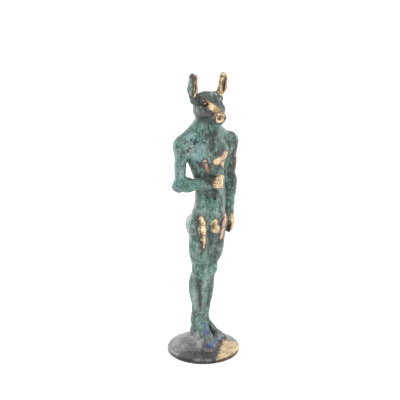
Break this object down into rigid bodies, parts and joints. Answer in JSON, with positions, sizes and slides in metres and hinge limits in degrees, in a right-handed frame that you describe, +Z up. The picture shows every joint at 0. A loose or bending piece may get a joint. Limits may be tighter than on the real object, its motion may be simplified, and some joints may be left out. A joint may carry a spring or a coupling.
{
  "type": "minotaur statuette",
  "caption": "Standing nude man with a bull's head and upright horns, a fist at the waist and one arm hanging, cast in one with the low domed round plinth it stands on.",
  "frame": {"origin": "centre of the plinth's flat underside", "axes": "+Z up, the figure faces -Y and its right side is at -X"},
  "size_m": [0.0406, 0.0394, 0.1501],
  "materials": {
    "patinated_bronze": "mottled green verdigris over dark bronze, worn to bare polished metal on raised places"
  },
  "bodies": {
    "root": {"minotaur_statuette": "patinated_bronze"}
  },
  "joints": []
}
